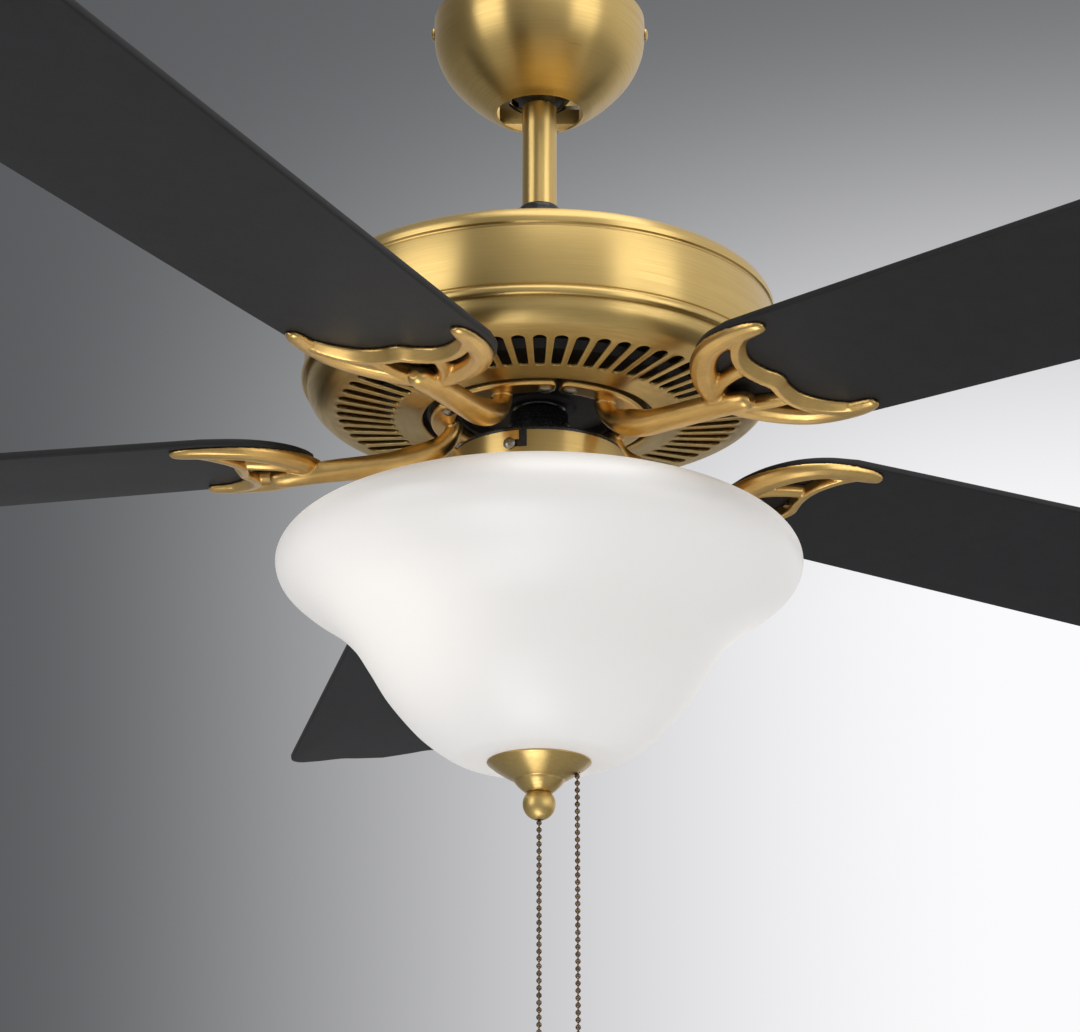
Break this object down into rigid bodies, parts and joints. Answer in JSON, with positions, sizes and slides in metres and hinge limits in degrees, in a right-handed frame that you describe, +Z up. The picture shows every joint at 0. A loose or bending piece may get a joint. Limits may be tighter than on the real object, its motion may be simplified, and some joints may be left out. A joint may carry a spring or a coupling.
{
  "type": "ceiling fan with light",
  "caption": "Ceiling fan with a brass drum motor housing, cast brass blade irons, black blades and a centre-hung white glass bowl light with bead pull chains.",
  "frame": {"origin": "the fan's axis at the ceiling: the centre of the bracket's two box screw slots, on its ceiling face", "axes": "+Z up along the fan's axis, +X along the line of the box screws, -Y towards the front; the blades turn about Z"},
  "size_m": [1.2573, 1.2695, 0.6877],
  "materials": {
    "brass": "soft brushed, lacquered",
    "black_metal": "satin black",
    "zinc_steel": "zinc plated",
    "cast_iron": "bare, slightly rough",
    "copper_wire": "enamelled windings",
    "white_plastic": "matte",
    "black_plastic": "matte",
    "white_metal": "white paint",
    "porcelain": "glazed",
    "bulb_glass": "frosted",
    "opal_glass": "satin white",
    "rubber": "matte",
    "blade_black": "matte black finish",
    "bronze": "antique bronze"
  },
  "bodies": {
    "ceiling_mount": {"hanger_bracket": "zinc_steel", "canopy": "brass", "canopy_screws": "brass"},
    "fan_frame": {"downrod": "brass", "housing_drum": "brass", "lower_pan": "brass", "switch_cup": "brass", "finial_cap": "brass", "finial_ball": "brass", "hanger_ball": "black_metal", "coupling_cover": "black_metal", "coupling_set_screws": "black_metal", "shaft_neck": "black_metal", "switch_plate": "black_metal", "hanger_pin": "zinc_steel", "downrod_pin": "zinc_steel", "housing_screws": "zinc_steel", "motor_shaft": "zinc_steel", "upper_bearing": "zinc_steel", "lower_bearing": "zinc_steel", "switch_cup_screws": "zinc_steel", "center_rod": "zinc_steel", "coupling": "cast_iron", "stator_core": "cast_iron", "stator_windings": "copper_wire", "supply_leads": "white_plastic", "fan_switch": "white_plastic", "light_switch": "black_plastic", "capacitor": "black_plastic", "reverse_switch": "black_plastic", "lamp_plate": "white_metal", "lampholders": "porcelain", "bulb_1": "bulb_glass", "bulb_2": "bulb_glass", "glass_bowl": "opal_glass", "glass_gasket": "rubber"},
    "rotor": {"rotor_cage": "cast_iron", "rotor_base": "black_metal", "rotor_cover": "black_metal", "rotor_screws": "zinc_steel", "iron_screws": "zinc_steel", "blade_screws": "bronze", "blade_iron_1": "brass", "blade_iron_2": "brass", "blade_iron_3": "brass", "blade_iron_4": "brass", "blade_iron_5": "brass", "blade_1": "blade_black", "blade_2": "blade_black", "blade_3": "blade_black", "blade_4": "blade_black", "blade_5": "blade_black"},
    "fan_pull": {"fan_chain": "bronze", "fan_chain_link": "bronze", "fan_chain_fob": "bronze"},
    "light_pull": {"light_chain": "bronze", "light_chain_link": "bronze", "light_chain_fob": "bronze"},
    "reverse_knob": {"reverse_slider": "white_plastic"}
  },
  "joints": [
    {"name": "hanger_swing", "type": "hinge", "parent": "ceiling_mount", "child": "fan_frame", "pos_m": [0, 0, -0.038], "axis": [0, 1, 0], "range_deg": [-12, 12]},
    {"name": "rotor_spin", "type": "hinge", "parent": "fan_frame", "child": "rotor", "pos_m": [0, 0, -0.24], "axis": [0, 0, 1], "continuous": true},
    {"name": "fan_chain_pull", "type": "slide", "parent": "fan_frame", "child": "fan_pull", "axis": [0, 0, -1], "range_m": [0, 0.009], "stiffness_N_per_m": 400, "springref_m": -0.002},
    {"name": "light_chain_pull", "type": "slide", "parent": "fan_frame", "child": "light_pull", "axis": [0, 0, -1], "range_m": [0, 0.009], "stiffness_N_per_m": 400, "springref_m": -0.002},
    {"name": "reverse_slide", "type": "slide", "parent": "fan_frame", "child": "reverse_knob", "axis": [0, 0, 1], "range_m": [0, 0.006]}
  ]
}
